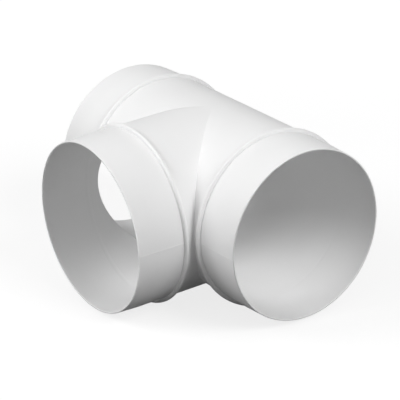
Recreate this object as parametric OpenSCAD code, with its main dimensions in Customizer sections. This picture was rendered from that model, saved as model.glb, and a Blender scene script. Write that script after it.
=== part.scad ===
// Equal tee for round plastic ventilation duct: one thin-walled moulding.
// A straight run lies along X and the branch leaves its middle along -Y, square to it.
// Both axes lie in one level plane, which is also the plane where the mould splits.
// The origin is on the surface that the tee stands on, below the middle of its outline.

/* [Duct] */
// Outside diameter of the round duct that each socket takes
duct_d = 100; // [80:1:160]
// Gap all round between the duct and its socket
duct_gap = 0.25; // [0.1:0.05:0.6]

/* [Shell] */
// Thickness of the moulded wall
wall = 1.5; // [1.2:0.1:3]
// Plain length of the run between the branch's side and the middle of each bead
run_neck = 4.75; // [3.5:0.25:40]
// Plain length of the branch between the run's side and the middle of its bead
branch_neck = 6; // [3.5:0.25:40]

/* [Sockets] */
// Depth of each socket, from its mouth to the middle of its bead
socket_depth = 31.25; // [24:0.25:60]
// Height of the bead round the foot of each socket
bead_h = 2.25; // [1.5:0.25:3]
// Width of that bead, whose crest is fully round
bead_w = 2.4; // [1.6:0.1:3]
// Fillet along both feet of the bead
bead_fillet = 0.2; // [0.1:0.05:0.4]
// Length over which the outside of each socket narrows towards its mouth
lead_len = 14; // [8:0.5:18]
// How much the outer radius falls over that length
lead_in = 0.5; // [0.2:0.05:0.65]
// Rounding on the inner and outer edges of each mouth
lip_r = 0.4; // [0.2:0.05:0.55]
// Least width of the flat rim between the two roundings of a mouth
rim_flat = 0.1; // [0.05:0.05:0.2]

/* [Moulding marks] */
// Width of the sink mark that the thick bead leaves round the bore behind it
sink_w = 3; // [2:0.5:4]
// Depth of that sink mark
sink_depth = 0.1; // [0.05:0.05:0.2]
// Width of the witness line where the two halves of the mould meet
seam_w = 0.3; // [0.2:0.1:1]
// Height of that witness line
seam_h = 0.08; // [0.05:0.01:0.2]

/* [Hidden] */
$fn = 128;

bore_r = duct_d / 2 + duct_gap;
outer_r = bore_r + wall;
mouth_r = outer_r - lead_in;
crest_r = outer_r + bead_h;

// The two roundings of a mouth are limited by the thickness of its wall
lip = min(lip_r, (mouth_r - bore_r - rim_flat) / 2);

// From the crossing of the axes to the middle of each bead, and on to each mouth
run_bead = outer_r + run_neck;
run_reach = run_bead + socket_depth;
branch_bead = outer_r + branch_neck;
branch_reach = branch_bead + socket_depth;

// The tee stands on its beads, and its outline runs from the branch's mouth to the back of the run
stand_h = crest_r;
back_reach = crest_r + seam_h;
middle_y = (branch_reach - back_reach) / 2;

// A sink mark is a shallow arc: its radius follows from its width and depth
sink_r = (pow(sink_w / 2, 2) + pow(sink_depth, 2)) / (2 * sink_depth);

// A tool that cuts through a mouth runs on this far past it
past = 1;

// Section of the bead, with the middle of its foot at the origin and its height along X.
// It is grown by proud all over, for the witness line.
module bead_profile(proud) {
    half_w = bead_w / 2 + proud;
    round_at = bead_h - bead_w / 2;
    translate([-wall / 2, -half_w])
        square([wall / 2 + round_at, 2 * half_w]);
    translate([round_at, 0])
        circle(r = half_w);
    for (side = [0, 1])
        mirror([0, side])
            translate([proud, half_w])
                difference() {
                    translate([-wall / 2, 0])
                        square([wall / 2 + bead_fillet, bead_fillet]);
                    translate([bead_fillet, bead_fillet])
                        circle(r = bead_fillet);
                }
}

// Half the outline of one arm, from the crossing to its mouth: radius along X, length along Y.
// It is grown by proud all over, for the witness line.
module arm_profile(reach, bead_at, proud = 0) {
    polygon([
        [0, 0],
        [outer_r + proud, 0],
        [outer_r + proud, reach - lead_len],
        [mouth_r + proud, reach - lip],
        [mouth_r + proud - lip, reach],
        [0, reach]
    ]);
    translate([mouth_r + proud - lip, reach - lip])
        circle(r = lip);
    translate([outer_r, bead_at])
        bead_profile(proud);
}

// Half the outline of the passage in one arm: bore, sink mark behind the bead, rounded lip
module passage_profile(reach, bead_at) {
    square([bore_r, reach + past]);
    translate([bore_r + sink_depth - sink_r, bead_at])
        intersection() {
            circle(r = sink_r);
            translate([0, -sink_w])
                square([sink_r, 2 * sink_w]);
        }
    difference() {
        translate([0, reach - lip])
            square([bore_r + lip, lip + past]);
        translate([bore_r + lip, reach - lip])
            circle(r = lip);
    }
}

// One arm along +Z, from the crossing of the axes
module arm(reach, bead_at) {
    rotate_extrude()
        arm_profile(reach, bead_at);
}

module arm_passage(reach, bead_at) {
    rotate_extrude()
        passage_profile(reach, bead_at);
}

module arm_seam(reach, bead_at) {
    rotate_extrude()
        arm_profile(reach, bead_at, proud = seam_h);
}

// Lays an arm made along +Z down along +X, -X or -Y
module to_right() {
    rotate([0, 90, 0])
        children();
}

module to_left() {
    rotate([0, -90, 0])
        children();
}

module to_branch() {
    rotate([90, 0, 0])
        children();
}

// The slab in which the mould's halves meet
module split_plane() {
    span = 2 * (run_reach + branch_reach);
    translate([-span / 2, -span / 2, -seam_w / 2])
        cube([span, span, seam_w]);
}

module shell() {
    to_right() arm(run_reach, run_bead);
    to_left() arm(run_reach, run_bead);
    to_branch() arm(branch_reach, branch_bead);
}

module witness_line() {
    intersection() {
        union() {
            to_right() arm_seam(run_reach, run_bead);
            to_left() arm_seam(run_reach, run_bead);
            to_branch() arm_seam(branch_reach, branch_bead);
        }
        split_plane();
    }
}

module passages() {
    to_right() arm_passage(run_reach, run_bead);
    to_left() arm_passage(run_reach, run_bead);
    to_branch() arm_passage(branch_reach, branch_bead);
}

module duct_tee() {
    color([0.94, 0.94, 0.94])
        translate([0, middle_y, stand_h])
            difference() {
                union() {
                    shell();
                    witness_line();
                }
                passages();
            }
}

duct_tee();
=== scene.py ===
"""Looks for the round duct tee: one white injection-moulded duct fitting on a pale studio floor.

Values named _MM or _mm are millimetres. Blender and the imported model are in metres, in one shared frame:
the run lies along X, the branch's mouth faces -Y and Z is up.
"""

import math

import bpy
from mathutils import Matrix, Vector


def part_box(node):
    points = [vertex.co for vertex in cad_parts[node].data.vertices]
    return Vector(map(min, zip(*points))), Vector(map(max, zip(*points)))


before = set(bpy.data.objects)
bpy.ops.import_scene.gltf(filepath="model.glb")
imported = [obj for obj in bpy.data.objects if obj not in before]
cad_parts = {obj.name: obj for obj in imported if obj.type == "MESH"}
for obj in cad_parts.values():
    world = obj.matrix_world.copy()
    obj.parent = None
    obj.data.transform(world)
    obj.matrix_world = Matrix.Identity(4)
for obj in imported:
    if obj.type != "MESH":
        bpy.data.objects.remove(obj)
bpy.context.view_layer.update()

MM = 0.001

# Driving sizes of the tee
AXIS_HEIGHT_MM = 54.0
BRANCH_REACH_MM = 89.0
BORE_RADIUS_MM = 50.25
WALL_MM = 1.5

# The run's and the branch's axes cross here
branch_mouth_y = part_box("duct_tee")[0].y
CROSSING = Vector((0.0, branch_mouth_y + BRANCH_REACH_MM * MM, AXIS_HEIGHT_MM * MM))


def srgb(hex_code):
    """The linear colour, with alpha, of an sRGB hex colour such as F0F0F0."""
    parts = [int(hex_code[i:i + 2], 16) / 255 for i in (0, 2, 4)]
    linear = [c / 12.92 if c <= 0.04045 else ((c + 0.055) / 1.055) ** 2.4 for c in parts]
    return (*linear, 1.0)


# Camera

# The photograph's view: where it looks from, its tilt, and where it holds the crossing of the axes
VIEW_AZIMUTH = 55.53
VIEW_ELEVATION = 24.09
VIEW_ROLL = -2.29
VIEW_DEPTH_MM = 1315.4
CROSSING_RIGHT_MM = 9.10
CROSSING_UP_MM = 7.51
LENS_MM = 200.0
SENSOR_MM = 36.0
NEAREST_MM = 50.0
FURTHEST_MM = 20000.0


def towards(azimuth, elevation):
    """The direction from the tee to a place. Azimuth 0 is in front of the branch, 90 off the +X mouth."""
    turn, lift = math.radians(azimuth), math.radians(elevation)
    return Vector((math.sin(turn) * math.cos(lift), -math.cos(turn) * math.cos(lift), math.sin(lift)))


def make_camera():
    back = towards(VIEW_AZIMUTH, VIEW_ELEVATION)
    turn = math.radians(VIEW_AZIMUTH)
    level_right = Vector((math.cos(turn), math.sin(turn), 0.0))
    right = Matrix.Rotation(math.radians(VIEW_ROLL), 3, back) @ level_right
    up = back.cross(right)
    data = bpy.data.cameras.new("photo_view")
    data.sensor_width = SENSOR_MM
    data.lens = LENS_MM
    data.clip_start = NEAREST_MM * MM
    data.clip_end = FURTHEST_MM * MM
    camera = bpy.data.objects.new("photo_view", data)
    bpy.context.scene.collection.objects.link(camera)
    place = CROSSING + back * VIEW_DEPTH_MM * MM
    place -= right * CROSSING_RIGHT_MM * MM + up * CROSSING_UP_MM * MM
    axes = Matrix((right, up, back)).transposed()
    camera.matrix_world = Matrix.Translation(place) @ axes.to_4x4()
    bpy.context.scene.camera = camera


make_camera()


# Materials

def add_node(tree, kind, inputs=None, **settings):
    """Adds a node with its settings. Each of its inputs given takes a value or another node's socket."""
    node = tree.nodes.new(kind)
    for name, value in settings.items():
        setattr(node, name, value)
    for name, feed in (inputs or {}).items():
        if isinstance(feed, bpy.types.NodeSocket):
            tree.links.new(feed, node.inputs[name])
        else:
            node.inputs[name].default_value = feed
    return node


def new_material(name):
    material = bpy.data.materials.new(name)
    material.use_nodes = True
    tree = material.node_tree
    tree.nodes.clear()
    return material, tree


# A Mix node set to colour takes and gives it through these sockets
MIX_COLOUR_A, MIX_COLOUR_B, MIX_COLOUR_RESULT = 6, 7, 2

# Noise keeps mostly to this span, and the patterns stretch it to their own
NOISE_SPAN = {"From Min": 0.3, "From Max": 0.7}

# The plastic's white wavers slowly between these two
DARKER_WHITE = "ECECEC"
LIGHTER_WHITE = "EEEEEE"
TINT_MM = 40.0

# Its roughness outside and inside, and the size of the patches in which that varies
OUTSIDE_ROUGHNESS = (0.60, 0.66)
INSIDE_ROUGHNESS = (0.48, 0.52)
PATCH_MM = 11.0

# Marks of the mould: how wide each one is, and how deep
GRAIN_MM = 0.9
GRAIN_DEPTH_MM = 0.0025
RIPPLE_MM = 26.0
RIPPLE_DEPTH_MM = 0.03

# How light bends into the plastic, how strongly it mirrors, and how far it wanders under the surface
PVC_IOR = 1.53
PVC_SPECULAR = 0.35
SCATTER_MM = 0.4

# Plastic nearer to a tube's axis than this is the wall of its passage
INSIDE_LIMIT_MM = BORE_RADIUS_MM + WALL_MM / 3


def distance_from_axis(tree, place, across):
    """How far a place is from an axis through the crossing. across is 0 along that axis, and 1 elsewhere."""
    flat = add_node(tree, "ShaderNodeVectorMath", {0: place, 1: across}, operation="MULTIPLY")
    distance = add_node(tree, "ShaderNodeVectorMath", {0: flat.outputs["Vector"]}, operation="LENGTH")
    return distance.outputs["Value"]


def inside_of_tee(tree, place):
    """1 on the walls of the passages and 0 on the outside, by the distance from the axis of each tube."""
    offset = add_node(tree, "ShaderNodeVectorMath", {0: place, 1: CROSSING}, operation="SUBTRACT")
    offset = offset.outputs["Vector"]
    from_run = distance_from_axis(tree, offset, (0.0, 1.0, 1.0))
    from_branch = distance_from_axis(tree, offset, (1.0, 0.0, 1.0))
    # Behind the run's axis there is no branch, so there its distance counts as a metre longer
    part = add_node(tree, "ShaderNodeSeparateXYZ", {"Vector": offset})
    behind = add_node(tree, "ShaderNodeMath", {0: part.outputs["Y"], 1: 0.0}, operation="GREATER_THAN")
    from_branch = add_node(tree, "ShaderNodeMath", {0: behind.outputs[0], 1: from_branch}, operation="ADD")
    nearest = add_node(tree, "ShaderNodeMath", {0: from_run, 1: from_branch.outputs[0]}, operation="MINIMUM")
    inside = add_node(tree, "ShaderNodeMath", {
        0: nearest.outputs[0],
        1: INSIDE_LIMIT_MM * MM,
    }, operation="LESS_THAN")
    return inside.outputs[0]


def moulded_plastic():
    """Rigid white PVC, injection moulded.

    Outside, the spark-eroded mould leaves an even satin with a very fine grain. Inside, the polished core
    leaves it a little glossier. The wall shrinks unevenly as it cools, so reflections waver slightly. Light
    that wanders in the plastic softens small forms such as the beads. The grain is 0.15 mm across on the
    real one, and is drawn coarser so that it shows.
    """
    material, tree = new_material("moulded_white_pvc")
    place = add_node(tree, "ShaderNodeTexCoord").outputs["Object"]

    clouds = add_node(tree, "ShaderNodeTexNoise", {
        "Vector": place,
        "Scale": 1 / (TINT_MM * MM),
        "Detail": 2.0,
    })
    cloud_share = add_node(tree, "ShaderNodeMapRange", {"Value": clouds.outputs["Fac"], **NOISE_SPAN})
    white = add_node(tree, "ShaderNodeMix", {
        "Factor": cloud_share.outputs["Result"],
        MIX_COLOUR_A: srgb(DARKER_WHITE),
        MIX_COLOUR_B: srgb(LIGHTER_WHITE),
    }, data_type="RGBA")

    patches = add_node(tree, "ShaderNodeTexNoise", {
        "Vector": place,
        "Scale": 1 / (PATCH_MM * MM),
        "Detail": 3.0,
    })
    outside, inside = [
        add_node(tree, "ShaderNodeMapRange", {
            "Value": patches.outputs["Fac"],
            **NOISE_SPAN,
            "To Min": low,
            "To Max": high,
        })
        for low, high in (OUTSIDE_ROUGHNESS, INSIDE_ROUGHNESS)
    ]
    roughness = add_node(tree, "ShaderNodeMix", {
        "Factor": inside_of_tee(tree, place),
        "A": outside.outputs["Result"],
        "B": inside.outputs["Result"],
    }, data_type="FLOAT")

    swells = add_node(tree, "ShaderNodeTexNoise", {
        "Vector": place,
        "Scale": 1 / (RIPPLE_MM * MM),
        "Detail": 1.0,
    })
    rippled = add_node(tree, "ShaderNodeBump", {
        "Height": swells.outputs["Fac"],
        "Strength": 1.0,
        "Distance": RIPPLE_DEPTH_MM * MM,
    })
    specks = add_node(tree, "ShaderNodeTexNoise", {
        "Vector": place,
        "Scale": 1 / (GRAIN_MM * MM),
        "Detail": 2.0,
    })
    grained = add_node(tree, "ShaderNodeBump", {
        "Height": specks.outputs["Fac"],
        "Strength": 1.0,
        "Distance": GRAIN_DEPTH_MM * MM,
        "Normal": rippled.outputs["Normal"],
    })

    plastic = add_node(tree, "ShaderNodeBsdfPrincipled", {
        "Base Color": white.outputs[MIX_COLOUR_RESULT],
        "Roughness": roughness.outputs["Result"],
        "IOR": PVC_IOR,
        "Specular IOR Level": PVC_SPECULAR,
        "Subsurface Weight": 1.0,
        "Subsurface Radius": (1.0, 1.0, 1.0),
        "Subsurface Scale": SCATTER_MM * MM,
        "Normal": grained.outputs["Normal"],
    })
    add_node(tree, "ShaderNodeOutputMaterial", {"Surface": plastic.outputs["BSDF"]})
    return material


def dress(piece, material):
    piece.data.materials.clear()
    piece.data.materials.append(material)


dress(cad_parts["duct_tee"], moulded_plastic())


# Stage

FLOOR_MM = 4000.0
# The paper as it is seen, and as it throws light on the tee
PAPER_SEEN = "858585"
PAPER_BOUNCE = "595959"
# It glows a little near the tee, and more where the lamps no longer light it, so that it stays white
GLOW_NEAR, GLOW_FAR = 0.80, 1.0
NEAR_MM, FAR_MM = 250.0, 1400.0

ROOM_LEVEL = 0.17
BACKDROP_LEVEL = 1.0
LAMP_DISTANCE_MM = 2500.0


def seen_directly(tree):
    """1 for rays that show a thing to the camera, in gloss or through clear things, and 0 for the rest."""
    rays = add_node(tree, "ShaderNodeLightPath")
    seen = add_node(tree, "ShaderNodeMath", {
        0: rays.outputs["Is Camera Ray"],
        1: rays.outputs["Is Glossy Ray"],
    }, operation="MAXIMUM")
    seen = add_node(tree, "ShaderNodeMath", {
        0: seen.outputs[0],
        1: rays.outputs["Is Transmission Ray"],
    }, operation="MAXIMUM")
    return seen.outputs[0]


def studio_paper():
    """Matt white paper. It keeps the tee's shadow and throws little light back, as in the photograph."""
    material, tree = new_material("studio_paper")
    place = add_node(tree, "ShaderNodeTexCoord").outputs["Object"]
    away = add_node(tree, "ShaderNodeVectorMath", {0: place}, operation="LENGTH")
    glow = add_node(tree, "ShaderNodeMapRange", {
        "Value": away.outputs["Value"],
        "From Min": NEAR_MM * MM,
        "From Max": FAR_MM * MM,
        "To Min": GLOW_NEAR,
        "To Max": GLOW_FAR,
    })
    shaded = add_node(tree, "ShaderNodeBsdfDiffuse", {"Color": srgb(PAPER_SEEN)})
    lit = add_node(tree, "ShaderNodeEmission", {"Strength": glow.outputs["Result"]})
    pale = add_node(tree, "ShaderNodeAddShader", {0: shaded.outputs[0], 1: lit.outputs[0]})
    dark = add_node(tree, "ShaderNodeBsdfDiffuse", {"Color": srgb(PAPER_BOUNCE)})
    paper = add_node(tree, "ShaderNodeMixShader", {
        0: seen_directly(tree),
        1: dark.outputs[0],
        2: pale.outputs[0],
    })
    add_node(tree, "ShaderNodeOutputMaterial", {"Surface": paper.outputs[0]})
    return material


def make_floor():
    bpy.ops.object.select_all(action="DESELECT")
    bpy.ops.mesh.primitive_plane_add(size=FLOOR_MM * MM, location=(0, 0, 0))
    floor = bpy.context.object
    floor.name = "studio_floor"
    dress(floor, studio_paper())


make_floor()


def make_world():
    """A dim even room, and a white backdrop for what is seen directly."""
    world = bpy.data.worlds.new("studio")
    bpy.context.scene.world = world
    world.use_nodes = True
    tree = world.node_tree
    tree.nodes.clear()
    room = add_node(tree, "ShaderNodeBackground", {"Color": srgb("FFFFFF"), "Strength": ROOM_LEVEL})
    backdrop = add_node(tree, "ShaderNodeBackground", {"Color": srgb("FFFFFF"), "Strength": BACKDROP_LEVEL})
    studio = add_node(tree, "ShaderNodeMixShader", {
        0: seen_directly(tree),
        1: room.outputs[0],
        2: backdrop.outputs[0],
    })
    add_node(tree, "ShaderNodeOutputWorld", {"Surface": studio.outputs[0]})


make_world()


def softbox(name, azimuth, elevation, size_mm, watts):
    """A round softbox aimed at the crossing."""
    direction = towards(azimuth, elevation)
    data = bpy.data.lights.new(name, "AREA")
    data.shape = "DISK"
    data.size = size_mm * MM
    data.energy = watts
    lamp = bpy.data.objects.new(name, data)
    bpy.context.scene.collection.objects.link(lamp)
    lamp.location = CROSSING + direction * LAMP_DISTANCE_MM * MM
    lamp.rotation_euler = direction.to_track_quat("Z", "Y").to_euler()


softbox("run_softbox", azimuth=99.5, elevation=39.0, size_mm=1060.0, watts=34.5)
softbox("branch_softbox", azimuth=-30.0, elevation=36.0, size_mm=1475.0, watts=37.5)
softbox("front_softbox", azimuth=36.0, elevation=38.0, size_mm=3200.0, watts=11.0)

bpy.context.scene.view_settings.view_transform = "Standard"
